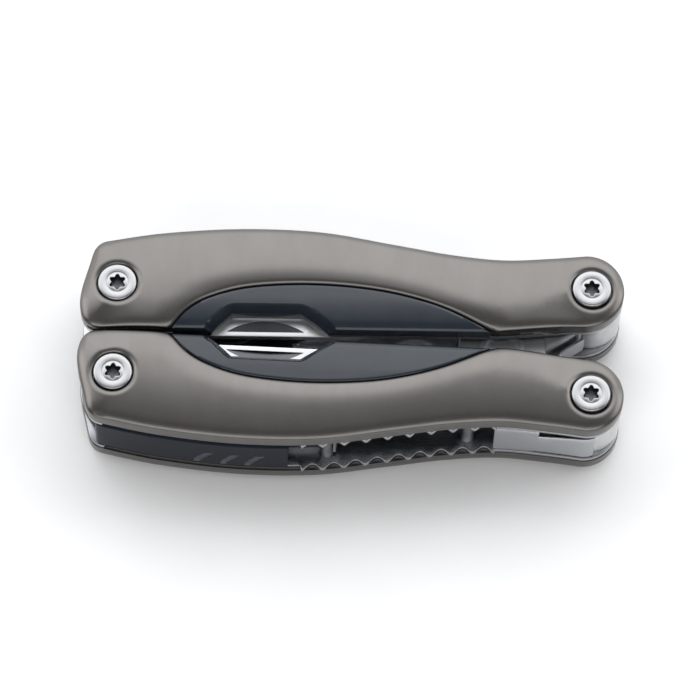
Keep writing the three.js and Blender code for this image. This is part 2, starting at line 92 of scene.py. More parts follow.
HANDLE = Matrix.Translation((PLIER_PIN[0], PLIER_PIN[1], 0)) @ Matrix.Rotation(TILT, 4, "Z")
MIRROR_Y = Matrix.Diagonal((1, -1, 1, 1))
FLIP_Z = Matrix.Translation((0, 0, THICKNESS)) @ Matrix.Diagonal((1, 1, -1, 1))
TO_METRES = Matrix.Diagonal((MM, MM, MM, 1))
JAW = Matrix.Translation((JAW_PIN[0], JAW_PIN[1], 0))


def in_handle(name, side="top"):
    """Takes the back handle's frame, in mm, to the part's frame for either handle and side."""
    handle = HANDLE if name == "back" else MIRROR_Y @ HANDLE
    return handle if side == "top" else handle @ FLIP_Z


# ---- plane curves
def catmull(points, count):
    """A smooth curve through the points, evenly stepped from one to the next."""
    p = np.array(points, float)
    last = len(p) - 1
    out = []
    for t in np.linspace(0, last, count):
        i = min(int(t), last - 1)
        w = t - i
        a, b, c, d = p[max(i - 1, 0)], p[i], p[i + 1], p[min(i + 2, last)]
        v0, v1 = (c - a) / 2, (d - b) / 2
        out.append(
            (2 * b - 2 * c + v0 + v1) * w**3 + (-3 * b + 3 * c - 2 * v0 - v1) * w**2 + v0 * w + b
        )
    return np.array(out)


def arc(cx, cy, rx, ry, a0, a1, count):
    t = np.radians(np.linspace(a0, a1, count))
    return np.stack([cx + rx * np.cos(t), cy + ry * np.sin(t)], 1)


def bezier(*control, count=16):
    """A Bezier curve with three or four control points."""
    t = np.linspace(0, 1, count)[:, None]
    p = np.array(control, float)[:, None, :] * np.ones((1, count, 1))
    while len(p) > 1:
        p = p[:-1] * (1 - t) + p[1:] * t
    return p[0]


def clean(points):
    """Drops repeated points from a closed loop."""
    p = np.array(points, float)
    keep = np.linalg.norm(p - np.roll(p, 1, 0), axis=1) > CLOSEST
    return p[keep]


def split_long(loop, spacing):
    """The closed loop with its long sides divided."""
    out = []
    for a, b in zip(loop, np.roll(loop, -1, 0)):
        n = max(1, int(math.ceil(np.linalg.norm(b - a) / spacing)))
        out.extend(a + (b - a) * k / n for k in range(n))
    return np.array(out)


OUTER = [
    (-0.8, 7.4), (-8, 6.75), (-17, 6.3), (-27, 7.3), (-38, 9.25),
    (-52, 11.65), (-67, 12.15), (-82, 11.05), (-93, 9.2),
]
OUTER_CURVE = catmull(OUTER, 260)
LENS = [
    (-80.7, INNER_Y), (-77.4, -5.1), (-73, -2.5), (-66, -0.5), (-56, 0.3),
    (-46, -0.1), (-37, -1.5), (-28, -4.3), (-18.8, INNER_Y),
]
WINDOW = [(-72.8, INNER_Y), (-68.8, -5.2), (-55.6, -5.2), (-50.4, INNER_Y)]


def outer_at(x):
    """The outer side's height at x, on the curve or on the ellipse round the plier pin."""
    curve = np.interp(x, OUTER_CURVE[::-1, 0], OUTER_CURVE[::-1, 1])
    ellipse = 7.4 * np.sqrt(np.maximum(1 - ((np.asarray(x) + 0.8) / 7.1) ** 2, 0))
    return np.where(np.asarray(x) > -0.8, ellipse, curve)


def right_end():
    return np.concatenate(
        [
            bezier((-20, INNER_Y), (-14, INNER_Y), (-7, -7.6), (-1.5, -7.55), count=24),
            arc(-1.5, 0, 7.8, 7.55, -90, 0, 26)[1:],
            arc(-0.8, 0, 7.1, 7.4, 0, 90, 26)[1:],
        ]
    )


def left_end():
    return np.concatenate(
        [
            bezier(OUTER_CURVE[-1], (-95.4, 8.75), (-96, 6), count=12),
            bezier((-96, 6), (-96.8, 2.6), (-97.9, -0.2), (-98.1, -3.1), count=16)[1:],
            bezier((-98.1, -3.1), (-98.2, -6.5), (-97.1, INNER_Y), (-94.2, INNER_Y), count=16)[1:],
        ]
    )


def handle_loop():
    """The handle's outline, counter-clockwise."""
    return clean(np.concatenate([right_end(), OUTER_CURVE[1:], left_end()[1:]]))


def inset_loop(loop, distance):
    before, after = np.roll(loop, 1, 0), np.roll(loop, -1, 0)
    along = after - before
    along /= np.linalg.norm(along, axis=1)[:, None]
    return loop + np.stack([-along[:, 1], along[:, 0]], 1) * distance


def edge_distance(points, loop, closed=True):
    """Distance from each point to the nearest side of a loop or open line."""
    a = loop if closed else loop[:-1]
    b = np.roll(loop, -1, 0) if closed else loop[1:]
    d = b - a
    size = np.maximum((d**2).sum(1), 1e-12)
    best = np.full(len(points), np.inf)
    for start in range(0, len(points), BLOCK):
        p = points[start : start + BLOCK, None, :]
        t = np.clip(((p - a) * d).sum(2) / size, 0, 1)
        gap = np.linalg.norm(p - (a + d * t[..., None]), axis=2)
        best[start : start + BLOCK] = gap.min(1)
    return best


def is_inside(points, loop):
    x, y = points[:, 0], points[:, 1]
    found = np.zeros(len(points), bool)
    for (ax, ay), (bx, by) in zip(loop, np.roll(loop, -1, 0)):
        if ay == by:
            continue
        crosses = (ay > y) != (by > y)
        found ^= crosses & (x < ax + (y - ay) * (bx - ax) / (by - ay))
    return found


def ccw(loop):
    x, y = loop[:, 0], loop[:, 1]
    area = (x * np.roll(y, -1) - y * np.roll(x, -1)).sum()
    return loop if area > 0 else loop[::-1]


# ---- meshes
def make(name, vertices, faces, transform, sharp=38.0, origin=None):
    """An object from vertices in mm. Its place is in its vertices unless it is given an origin."""
    flips = transform.determinant() < 0
    world = TO_METRES @ transform
    co = np.array(vertices, float)
    m = np.array(world)
    co = co @ m[:3, :3].T + m[:3, 3]
    place = Vector((0, 0, 0)) if origin is None else world @ Vector(origin)
    co -= np.array(place)
    mesh = bpy.data.meshes.new(name)
    loops = [tuple(int(i) for i in (f[::-1] if flips else f)) for f in faces]
    mesh.from_pydata(co.tolist(), [], loops)
    mesh.update()
    mesh.polygons.foreach_set("use_smooth", [True] * len(mesh.polygons))
    mesh.set_sharp_from_angle(angle=math.radians(sharp))
    obj = bpy.data.objects.new(name, mesh)
    obj.location = place
    bpy.context.scene.collection.objects.link(obj)
    return obj


def nearest(points, others):
    """Distance from each point to the closest of the others."""
    best = np.full(len(points), np.inf)
    for start in range(0, len(points), BLOCK):
        p = points[start : start + BLOCK, None, :]
        best[start : start + BLOCK] = np.linalg.norm(p - others, axis=2).min(1)
    return best


def plan(loop, holes, rings, spacing, grid, extra, clear):
    """Triangles that fill a loop with holes, with rows of points along every edge. Extra points are
    always used; the others stay out of the clear discs."""
    loops = [split_long(clean(ccw(np.array(l, float))), spacing) for l in [loop, *holes]]
    points = list(loops)
    edges = []
    start = 0
    for l in loops:
        n = len(l)
        edges += [(start + i, start + (i + 1) % n) for i in range(n)]
        start += n

    def gap_to_all(p):
        return np.min([edge_distance(p, l) for l in loops], axis=0)

    def in_shape(p):
        inside = is_inside(p, loops[0])
        for l in loops[1:]:
            inside &= ~is_inside(p, l)
        return inside

    for k, l in enumerate(loops):
        side = 1 if k == 0 else -1
        for d in rings:
            row = inset_loop(l, side * d)
            row = row[gap_to_all(row) > d * ROW_SHARE]
            if len(row):
                points.append(row)
    if grid:
        low, high = loops[0].min(0), loops[0].max(0)
        xs = np.arange(low[0], high[0], grid)
        ys = np.arange(low[1], high[1], grid * GRID_RISE)
        gx, gy = np.meshgrid(xs, ys)
        gx[1::2] += grid / 2
        inner = np.stack([gx.ravel(), gy.ravel()], 1)
        inner = inner[gap_to_all(inner) > max(rings) + grid * 0.45]
        points.append(inner)
    every = np.concatenate(points)
    keep = np.ones(len(every), bool)
    for x, y, r in clear:
        keep &= np.hypot(every[:, 0] - x, every[:, 1] - y) > r
    if extra is not None:
        keep &= nearest(every, extra) > EXTRA_GAP
        keep[:start] = True
        every = np.concatenate([every[keep], extra])
    keep = in_shape(every) & (gap_to_all(every) > EDGE_GAP)
    keep[:start] = True
    every = every[keep]
    found = geometry.delaunay_2d_cdt([Vector(p) for p in every], edges, [], 0, 1e-6)
    xy = np.array([tuple(v) for v in found[0]])
    faces = np.array(found[2])
    return xy, faces[in_shape(xy[faces].mean(1))], loops


def rounded(d, radius):
    """How far a surface falls at a distance d from an edge that is rounded."""
    near = np.clip(1 - d / radius, 0, 1)
    return radius * (1 - np.sqrt(np.maximum(1 - near**2, 0)))


def slab(
    name, loop, top, bottom, transform, rings, spacing=0.8, grid=2.0,
    holes=(), levels=2, warp=None, sharp=38.0, extra=None, clear=(),
):
    """A solid between two surfaces over a plane outline. top and bottom take points and the distance
    to the nearest edge, and give heights; warp may then move any vertex."""
    xy, faces, loops = plan(loop, holes, rings, spacing, grid, extra, clear)
    gap = np.min([edge_distance(xy, l) for l in loops], axis=0)
    up, down = top(xy, gap), bottom(xy, gap)
    n = len(xy)
    verts = [np.column_stack([xy, up]), np.column_stack([xy, down])]
    out = [tuple(f) for f in faces] + [tuple(f[::-1] + n) for f in faces]
    edges = {}
    for f in faces:
        for a, b in zip(f, np.roll(f, -1)):
            edges[(a, b)] = edges.get((a, b), 0) + 1
    rim = [(a, b) for a, b in edges if (b, a) not in edges]
    edge_points = sorted({i for e in rim for i in e})
    place = {v: k for k, v in enumerate(edge_points)}
    rows = [{v: v + n for v in edge_points}]
    count = 2 * n
    for level in range(1, levels):
        share = level / levels
        z = down[edge_points] * (1 - share) + up[edge_points] * share
        verts.append(np.column_stack([xy[edge_points], z]))
        rows.append({v: count + place[v] for v in edge_points})
        count += len(edge_points)
    rows.append({v: v for v in edge_points})
    for low, high in zip(rows, rows[1:]):
        out += [(low[a], low[b], high[b], high[a]) for a, b in rim]
    co = np.concatenate(verts)
    if warp is not None:
        co = warp(co)
    return make(name, co, out, transform, sharp)


def flat_top(z, radius):
    return lambda xy, gap: z - rounded(gap, radius)


def flat_bottom(z, radius):
    return lambda xy, gap: z + rounded(gap, radius)


def bands(count, sides, closed):
    """Faces between each ring of points and the next."""
    faces = []
    for k in range(count if closed else count - 1):
        low, high = k * sides, (k + 1) % count * sides
        for i in range(sides):
            j = (i + 1) % sides
            faces.append((low + i, low + j, high + j, high + i))
    return faces


def lathe(name, profile, transform, at, sides, change=None):
    """A turned piece about an upright axis, from (radius, z) points listed upwards."""
    turn = np.linspace(0, 2 * math.pi, sides, endpoint=False)
    rings = []
    for r, z in profile:
        radius, height = np.full(sides, r), np.full(sides, z)
        if change is not None:
            radius, height = change(radius, height, turn)
        rings.append(np.column_stack([radius * np.cos(turn), radius * np.sin(turn), height]))
    co = np.concatenate(rings) + np.array([*at, 0])
    last = (len(profile) - 1) * sides
    caps = [tuple(range(sides))[::-1], tuple(range(last, last + sides))]
    faces = bands(len(profile), sides, closed=False) + caps
    return make(name, co, faces, transform, origin=(*at, 0))


def pipe(name, inner, outer, z0, z1, transform, at=(0, 0), edge=0.12):
    """A ring or sleeve with eased edges."""
    sides = 48
    turn = np.linspace(0, 2 * math.pi, sides, endpoint=False)
    section = [
        (inner, z0 + edge), (inner + edge, z0), (outer - edge, z0), (outer, z0 + edge),
        (outer, z1 - edge), (outer - edge, z1), (inner + edge, z1), (inner, z1 - edge),
    ]
    rings = [
        np.column_stack([r * np.cos(turn), r * np.sin(turn), np.full(sides, z)]) for r, z in section
    ]
    co = np.concatenate(rings) + np.array([*at, 0])
    faces = bands(len(section), sides, closed=True)
    return make(name, co, faces, transform, sharp=30.0, origin=(*at, 0))


# ---- materials
def nodes_of(name):
    material = bpy.data.materials.new(name)
    material.use_nodes = True
    tree = material.node_tree
    return material, tree, tree.nodes["Principled BSDF"]


def link(tree, a, b):
    tree.links.new(a, b)


def noise(tree, vector, scale, detail, rough=0.55):
    n = tree.nodes.new("ShaderNodeTexNoise")
    n.inputs["Scale"].default_value = scale
    n.inputs["Detail"].default_value = detail
    n.inputs["Roughness"].default_value = rough
    link(tree, vector, n.inputs["Vector"])
    return n.outputs["Fac"]


def stretched(tree, scale=(1, 1, 1)):
    coords = tree.nodes.new("ShaderNodeTexCoord")
    mapping = tree.nodes.new("ShaderNodeMapping")
    mapping.inputs["Scale"].default_value = scale
    link(tree, coords.outputs["Object"], mapping.inputs["Vector"])
    return mapping.outputs["Vector"]


NOISE_SPAN = (0.3, 0.7)  # nearly all of a noise's values lie in here


def ramp(tree, value, low, high):
    r = tree.nodes.new("ShaderNodeValToRGB")
    for stop, place, colour in zip(r.color_ramp.elements, NOISE_SPAN, (low, high)):
        stop.position = place
        stop.color = (*colour, 1)
    link(tree, value, r.inputs["Fac"])
    return r.outputs["Color"]


def span(tree, value, low, high, at=NOISE_SPAN):
    m = tree.nodes.new("ShaderNodeMapRange")
    m.inputs["From Min"].default_value, m.inputs["From Max"].default_value = at
    m.inputs["To Min"].default_value, m.inputs["To Max"].default_value = low, high
    link(tree, value, m.inputs["Value"])
    return m.outputs["Result"]


def bump(tree, shader, height, strength, distance):
    b = tree.nodes.new("ShaderNodeBump")
    b.inputs["Strength"].default_value = strength
    b.inputs["Distance"].default_value = distance
    link(tree, height, b.inputs["Height"])
    link(tree, b.outputs["Normal"], shader.inputs["Normal"])


def mixed(tree, share, low, high):
    """The colour low where the share is 0, and high where it is 1."""
    mix = tree.nodes.new("ShaderNodeMix")
    mix.data_type = "RGBA"
    link(tree, share, mix.inputs[0])
    link(tree, low, mix.inputs[6])
    link(tree, high, mix.inputs[7])
    return mix.outputs[2]


GRAIN_DEPTH = 0.02 * MM


def grained(name, low, high, rough, grain, strength, depth=GRAIN_DEPTH, metallic=1.0, stretch=(1, 1, 1)):
    """A surface with fine grain: small changes of colour and gloss, and a shallow bump."""
    material, tree, shader = nodes_of(name)
    shader.inputs["Metallic"].default_value = metallic
    vector = stretched(tree, stretch)
    broad = noise(tree, vector, grain * 0.06, 3.0)
    fine = noise(tree, vector, grain, 5.0, 0.6)
    link(tree, ramp(tree, broad, low, high), shader.inputs["Base Color"])
    link(tree, span(tree, fine, *rough), shader.inputs["Roughness"])
    bump(tree, shader, fine, strength, depth)
    return material


SCALE = grained(
    "satin_anodised", (0.142, 0.135, 0.128), (0.152, 0.145, 0.138), (0.27, 0.33), 5200, 0.1,
    stretch=(1.0, 0.3, 1.0),
)
INLAY = grained(
    "navy_plastic", (0.009, 0.014, 0.021), (0.013, 0.019, 0.028), (0.18, 0.24), 3500, 0.03,
    metallic=0.0,
)
GRIPS = (-73.6, -68.5, -63.8)
GRIP_Z = 8.8
GRIP_LEAN = 0.61
WEAR_REACH = 1.7  # the worn strip of a grip cut runs this far above and below its middle
WEAR_RAGGED = 0.2  # the wear's edge wanders over this distance
WEAR_EDGE = (0.5, 0.8)  # worn to the steel inside the first distance, enamelled past the second


def sums(tree, operation, a, b):
    """One maths node; each side is a socket or a number."""
    m = tree.nodes.new("ShaderNodeMath")
    m.operation = operation
    for socket, value in zip(m.inputs, (a, b)):
        if isinstance(value, (int, float)):
            socket.default_value = value
        else:
            link(tree, value, socket)
    return m.outputs["Value"]


def lever_enamel():
    """Black enamel, worn to the steel in the three slanted grip cuts."""
    material, tree, shader = nodes_of("black_enamel")
    vector = stretched(tree)
    fine = noise(tree, vector, 1500, 4.0, 0.6)
    split = tree.nodes.new("ShaderNodeSeparateXYZ")
    link(tree, vector, split.inputs["Vector"])
    rise = sums(tree, "SUBTRACT", split.outputs["Z"], GRIP_Z * MM)
    along = sums(tree, "SUBTRACT", split.outputs["X"], sums(tree, "MULTIPLY", rise, GRIP_LEAN))
    nearest_cut = None
    for x in GRIPS:
        off = sums(tree, "ABSOLUTE", sums(tree, "SUBTRACT", along, PLIER_PIN[0] * MM + x * MM), 0)
        nearest_cut = off if nearest_cut is None else sums(tree, "MINIMUM", nearest_cut, off)
    beyond = sums(tree, "SUBTRACT", sums(tree, "ABSOLUTE", rise, 0), WEAR_REACH * MM)
    nearest_cut = sums(tree, "MAXIMUM", nearest_cut, beyond)
    ragged = sums(tree, "ADD", nearest_cut, sums(tree, "MULTIPLY", fine, WEAR_RAGGED * MM))
    worn = span(tree, ragged, 1.0, 0.0, at=[edge * MM for edge in WEAR_EDGE])
    enamel = ramp(tree, fine, (0.006, 0.009, 0.015), (0.01, 0.014, 0.022))
    steel = ramp(tree, fine, (0.09, 0.105, 0.125), (0.13, 0.145, 0.165))
    link(tree, mixed(tree, worn, enamel, steel), shader.inputs["Base Color"])
    link(tree, span(tree, fine, 0.16, 0.24), shader.inputs["Roughness"])
    bump(tree, shader, fine, 0.06, GRAIN_DEPTH)
    shader.inputs["Metallic"].default_value = 0.0
    shader.inputs["Specular IOR Level"].default_value = 0.06
    return material


LEVER = lever_enamel()
BRUSHED = (0.2, 1, 1)
LINER = grained(
    "polished_sheet", (0.4, 0.41, 0.43), (0.47, 0.48, 0.5), (0.16, 0.26), 1500, 0.08,
    stretch=(0.15, 1, 1),
)
BLADE = grained(
    "blade_steel", (0.56, 0.564, 0.57), (0.62, 0.624, 0.63), (0.36, 0.42), 1400, 0.04,
    depth=GRAIN_DEPTH / 2, stretch=BRUSHED,
)
# Painted shade for recesses: the floors of the screw sockets and of the blades' nail nicks.
RECESS_SHADE = grained(
    "steel_painted_recess_shade", (0.08, 0.083, 0.09), (0.11, 0.114, 0.12), (0.3, 0.42), 2400, 0.1,
)
# Painted shade: the tools that lie deep inside the folded handles get this darker steel for the shadow
# they sit in.
SHADED_TOOL = grained(
    "steel_painted_shade", (0.06, 0.064, 0.07), (0.1, 0.105, 0.112), (0.3, 0.42), 2200, 0.12,
    stretch=BRUSHED,
)
POST = grained(
    "post_steel", (0.2, 0.205, 0.212), (0.27, 0.276, 0.284), (0.26, 0.38), 2600, 0.12,
)
SPRING = grained(
    "spring_steel", (0.3, 0.31, 0.33), (0.4, 0.41, 0.43), (0.28, 0.4), 1800, 0.1,
)


def turned_steel():
    """Satin screw steel with fine rings from the lathe about each piece's own axis."""
    material, tree, shader = nodes_of("turned_steel")
    shader.inputs["Metallic"].default_value = 1.0
    vector = stretched(tree)
    broad = noise(tree, vector, 500, 3.0)
    link(tree, ramp(tree, broad, (0.35, 0.355, 0.36), (0.4, 0.405, 0.41)), shader.inputs["Base Color"])
    link(tree, span(tree, broad, 0.26, 0.36), shader.inputs["Roughness"])
    rings = tree.nodes.new("ShaderNodeTexWave")
    rings.wave_type = "RINGS"
    rings.rings_direction = "Z"
    rings.inputs["Scale"].default_value = 900
    rings.inputs["Distortion"].default_value = 0.3
    link(tree, vector, rings.inputs["Vector"])
    bump(tree, shader, rings.outputs["Fac"], 0.12, GRAIN_DEPTH)
    return material


SCREW = turned_steel()


TANG_SHADE_EDGE = (43.0, 47.0)  # the painted shade on the plier gives way to its bright steel between these X


def forged_steel_painted_shade():
    """The plier halves: painted shade on the jaws and arms, which lie in the shadow between the handles,
    turning to bright tang ends along X.
    """
    material, tree, shader = nodes_of("forged_steel_painted_shade")
    shader.inputs["Metallic"].default_value = 1.0
    vector = stretched(tree)
    broad = noise(tree, vector, 260, 3.0)
    fine = noise(tree, vector, 2600, 5.0, 0.6)
    split = tree.nodes.new("ShaderNodeSeparateXYZ")
    link(tree, vector, split.inputs["Vector"])
    edge = tree.nodes.new("ShaderNodeMapRange")
    edge.interpolation_type = "SMOOTHSTEP"
    edge.inputs["From Min"].default_value = TANG_SHADE_EDGE[0] * MM
    edge.inputs["From Max"].default_value = TANG_SHADE_EDGE[1] * MM
    link(tree, split.outputs["X"], edge.inputs["Value"])
    # painted shade: grey for the jaws and arms in the handles' shadow; the tang ends keep the bright
    # steel
    painted_shade_grey = ramp(tree, broad, (0.26, 0.265, 0.275), (0.32, 0.325, 0.335))
    bright = ramp(tree, broad, (0.56, 0.565, 0.57), (0.66, 0.665, 0.67))
    link(tree, mixed(tree, edge.outputs["Result"], painted_shade_grey, bright), shader.inputs["Base Color"])
    link(tree, span(tree, fine, 0.4, 0.5), shader.inputs["Roughness"])
    bump(tree, shader, fine, 0.05, 1.5 * GRAIN_DEPTH)
    return material


PLIER = forged_steel_painted_shade()


def finish_piece(obj, body, slot, material, *nodes, second=None, second_faces=()):
    """Gives a piece its materials and the body it rides on, and hides the nodes it replaces; its slot is
    not used.
    """
    obj.data.materials.append(material)
    if second is not None:
        obj.data.materials.append(second)
        for i in second_faces:
            obj.data.polygons[int(i)].material_index = 1
    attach(obj, body)
    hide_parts(*nodes)


# ---- scales and inlays
OUTLINE = handle_loop()
LENS_CURVE = catmull(LENS, 150)
CROWN_RUN = 12.0
CROWN_RISE = 1.4
CROWN_BLEND = 1.1  # how softly the crowns from two sides run into each other
EDGE_TURN = 1.8
INNER_RUN = 6.5  # the crown also falls towards the inner edge, by half, over this distance
COUNTERBORE_R = 3.88
# The sides of the outline, with how much faster the crown rises from each one.
CROWN_SIDES = (
    (np.concatenate([arc(-1.5, 0, 7.8, 7.55, -90, 0, 26), right_end()[-25:], OUTER_CURVE[1:]]), 1.0),
    (left_end(), 1.5),
)
INNER_SIDE = np.array([(-94.2, INNER_Y), (-20, INNER_Y), *right_end()[:24]])
SEAT_Z = 19.5
LENS_FALL = 0.55  # the scale falls this much over LENS_RUN, and as much again over LENS_ROUND
LENS_RUN = 4.4
LENS_ROUND = 0.8
DISH_FALL = 0.75  # the scale dips round each screw
DISH_RUN = 1.3
INLAY_GAP = 0.16
INLAY_SINK = 0.75
WINDOW_FALL = 1.95  # the bevel round a finger window
WINDOW_RUN = 1.4


def crown_height(points, sink=0.0):
    """The scale's outer surface: the side wall turns over, then a broad crown rises inwards."""
    near = sum(
        np.exp(-edge_distance(points, side, closed=False) * rate / CROWN_BLEND)
        for side, rate in CROWN_SIDES
    )
    t = np.clip(-CROWN_BLEND * np.log(near) / CROWN_RUN, 0, 1)
    inner = np.clip(1 - edge_distance(points, INNER_SIDE, closed=False) / INNER_RUN, 0, 1)
    turn = np.clip(edge_distance(points, OUTLINE) / EDGE_TURN, 0, 1)
    edge = (THICKNESS - LIP_Z - CROWN_RISE) * np.sqrt(turn * (2 - turn))
    return LIP_Z - sink + edge + CROWN_RISE * t * (2 - t) * (1 - inner**2 / 2)


def scale_loop():
    tail = left_end()
    head = right_end()
    head = head[(head[:, 0] > -18.3) | (head[:, 1] > 0)]
    loop = [LENS_CURVE[-1:], head, OUTER_CURVE[1:], tail[1:], LENS_CURVE[:-1]]
    return clean(np.concatenate(loop))


def scale_top(points, gap):
    z = crown_height(points)
    from_lens = edge_distance(points, LENS_CURVE, closed=False)
    z -= LENS_FALL * rounded(from_lens, LENS_ROUND) / LENS_ROUND
    z -= LENS_FALL * np.clip(1 - from_lens / LENS_RUN, 0, 1) ** 2
    for x, y in PINS:
        r = np.hypot(points[:, 0] - x, points[:, 1] - y)
        near = 1 - np.clip((r - COUNTERBORE_R) / DISH_RUN, 0, 1)
        z = np.where(r >= COUNTERBORE_R - 1e-3, z - DISH_FALL * (1 - np.sqrt(1 - near**2)), z)
        z = np.where(r < COUNTERBORE_R - 0.03, SEAT_Z, z)
    return z


def scale_bottom(points, gap):
    return np.where(points[:, 1] < INNER_Y + REBATE_WIDTH, REBATE_Z, SCALE_Z)


def circle(x, y, r, count):
    return arc(x, y, r, r, 0, 360, count + 1)[:-1]


def top_scale(name, handle, side):
    """One scale. The counterbore's wall is two rows of points almost above each other."""
    holes = [circle(x, y, 1.9, 24) for x, y in PINS]
    rows = (2.8, 3.5, 3.83, 3.885, 3.92, 4.0, 4.12, 4.3, 4.55, 4.85, 5.1, 5.3)
    return slab(
        name, scale_loop(), scale_top, scale_bottom, in_handle(handle, side),
        rings=(0.05, 0.13, 0.25, 0.42, 0.65, 0.95, 1.35, 1.9, 2.6, 3.5, 4.6),
        spacing=0.6, grid=1.3, holes=holes, sharp=44.0,
        extra=np.concatenate([circle(x, y, r, 64) for x, y in PINS for r in rows]),
        clear=[(x, y, rows[-1] + 0.15) for x, y in PINS],
    )


def inlay_loop():
    curve = LENS_CURVE - np.array([0, INLAY_GAP])
    curve = curve[curve[:, 1] > INNER_Y + 0.12]
    first, last = curve[0], curve[-1]
    y = INNER_Y + 0.06
    window = [(WINDOW[0][0], y), *WINDOW[1:3], (WINDOW[3][0], y)]
    return clean(np.array([(first[0] + 0.1, y), *window, (last[0] - 0.1, y), *curve[::-1]]))


def inlay_top(points, gap):
    z = crown_height(points, INLAY_SINK)
    frame_gap = edge_distance(points, np.array(WINDOW), closed=False)
    z -= WINDOW_FALL * np.clip(1 - frame_gap / WINDOW_RUN, 0, 1) + rounded(frame_gap, 0.12)
    lens_gap = edge_distance(points, LENS_CURVE, closed=False) - INLAY_GAP
    z -= rounded(lens_gap, 0.35)
    return np.maximum(z, SCALE_Z + 0.25)


def inlay_bottom(points, gap):
    return np.full(len(points), SCALE_Z + 0.02)


# ---- liners
SCALLOP_FROM, SCALLOP_TO, SCALLOPS = -54.5, -17.6, 9


def liner_loop():
    edge = inset_loop(OUTLINE, EDGE_INSET)
    x = edge[:, 0]
    back = (edge[:, 1] > 0) & (x > SCALLOP_FROM) & (x < SCALLOP_TO)
    start = int(np.argmax(back))
    steps = np.linspace(0, 1, SCALLOPS * 16 + 1)
    wave_x = SCALLOP_TO + (SCALLOP_FROM - SCALLOP_TO) * steps
    swing = (1 - np.cos(2 * math.pi * SCALLOPS * steps)) / 2
    waves = np.column_stack([wave_x, outer_at(wave_x) + 0.25 - 1.1 * swing**0.85])
    beside_lever = (edge[:, 1] > 8) & (x < SCALLOP_FROM) & (x > -92.5)
    edge[:, 1] -= np.where(beside_lever, 0.5, 0)
    kept = edge[~back]
    return clean(np.concatenate([kept[:start], waves, kept[start:]]))


def liner_outline():
    """The liner with its finger window open to the inner edge."""
    loop = liner_loop()
    y = INNER_Y + EDGE_INSET
    low = (loop[:, 1] < y + 0.01) & (loop[:, 0] > -93) & (loop[:, 0] < -6)
    kept = loop[~low]
    notch = [(-73.0, y), (-69.05, -4.85), (-55.4, -4.85), (-50.2, y)]
    turn = int(np.argmin(np.hypot(kept[:, 0] + 94.2, kept[:, 1] - y)))
    kept = np.roll(kept, -(turn + 1), 0)
    return clean(np.concatenate([notch, kept]))


# ---- build: handles
HANDLES = ("front", "back")
SIDES = ("top", "bottom")


def build_covers(handle):
    body = handle + "_handle"
    for side in SIDES:
        turn = in_handle(handle, side)
        name = f"{handle}_{side}_"
        scale = top_scale(name + "scale_shell", handle, side)
        finish_piece(scale, body, "handle_scale", SCALE, name + "scale")
        inlay = slab(
            name + "inlay_shell", inlay_loop(), inlay_top, inlay_bottom, turn,
            rings=(0.04, 0.12, 0.3, 0.6, 1.0, 1.34, 1.46, 1.8, 2.3),
            spacing=0.45, grid=1.2, sharp=28.0,
        )
        finish_piece(inlay, body, "inlay", INLAY, name + "inlay")
        holes = [circle(x, y, BORE_R, 32) for x, y in PINS]
        holes.append(circle(*LEVER_PIN, 1.35, 24))
        liner = slab(
            name + "liner_sheet", liner_outline(),
            flat_top(SCALE_Z - 0.02, 0.14), flat_bottom(LINER_Z, 0.14), turn,
            rings=(0.05, 0.14), spacing=1.2, grid=4.0, holes=holes,
        )
        finish_piece(liner, body, "liner_steel", LINER, name + "liner")


SOCKET_R = 1.0  # a profile's points at these two radii follow the lobes of the socket
SOCKET_EDGE_R = 1.1


def screw_change(radius, height, turn):
    """Cuts the six-lobed socket into the rings near the middle."""
    lobes = 1.12 + 0.5 * (0.5 + 0.5 * np.cos(6 * (turn - math.pi / 2))) ** 0.9
    edge = np.isclose(radius, SOCKET_EDGE_R)
    socket = edge | np.isclose(radius, SOCKET_R)
    return np.where(socket, lobes * np.where(edge, 1.04, 0.98), radius), height


def build_screws(handle):
    body = handle + "_handle"
    top = HEAD_TOP
    sides = 96
    shank = [(0.02, 13.8), (1.5, 13.8), (1.5, top - 2)]
    rim = [
        (HEAD_R - 0.1, top - 2), (HEAD_R, top - 1.9), (HEAD_R, top - 0.34),
        (HEAD_R - 0.06, top - 0.18), (HEAD_R - 0.2, top - 0.05), (HEAD_R - 0.42, top),
    ]
    ring_groove = [
        (2.28, top), (2.18, top - 0.03), (2.12, top - 0.13), (2.02, top - 0.15),
        (1.92, top - 0.1), (1.85, top - 0.06), (SOCKET_EDGE_R, top - 0.08),
    ]
    socket = [(SOCKET_R, top - 0.2), (SOCKET_R, top - 1.8), (0.02, top - 1.95)]
    profile = shank + rim + ring_groove + socket
    before_socket = len(profile) - len(socket)
    for end, (x, y) in zip(("plier", "tool"), PINS):
        for side in SIDES:
            turn = in_handle(handle, side)
            node = f"{handle}_{end}_{side}_screw"
            screw = lathe(node + "_turned", profile, turn, (x, y), sides, screw_change)
            # the socket's faces get the painted recess shade
            dark = range(before_socket * sides, len(screw.data.polygons))
            finish_piece(screw, body, "fastener", SCREW, node, second=RECESS_SHADE, second_faces=dark)


LEVER_X = (-94.1, -57.1)


def lever_loop():
    x0, x1 = LEVER_X
    xs = np.linspace(x1, -92.6, 90)
    outer = np.column_stack([xs, outer_at(xs) - EDGE_INSET])
    nose = 6.5
    rest = [
        (-93.7, float(outer_at(-93)) - 0.4), (x0, 8.4), (x0, nose + 0.3), (x0 + 0.3, nose),
        (-88.9, nose), (-88.3, 6.75), (-86.8, 7.8), (-79.4, 7.5),
        *arc(*LEVER_PIN, 2.35, 2.35, 195, 345, 14),
        (-72.4, 7.5), (x1, 8.4),
    ]
    return clean(np.concatenate([outer, rest]))


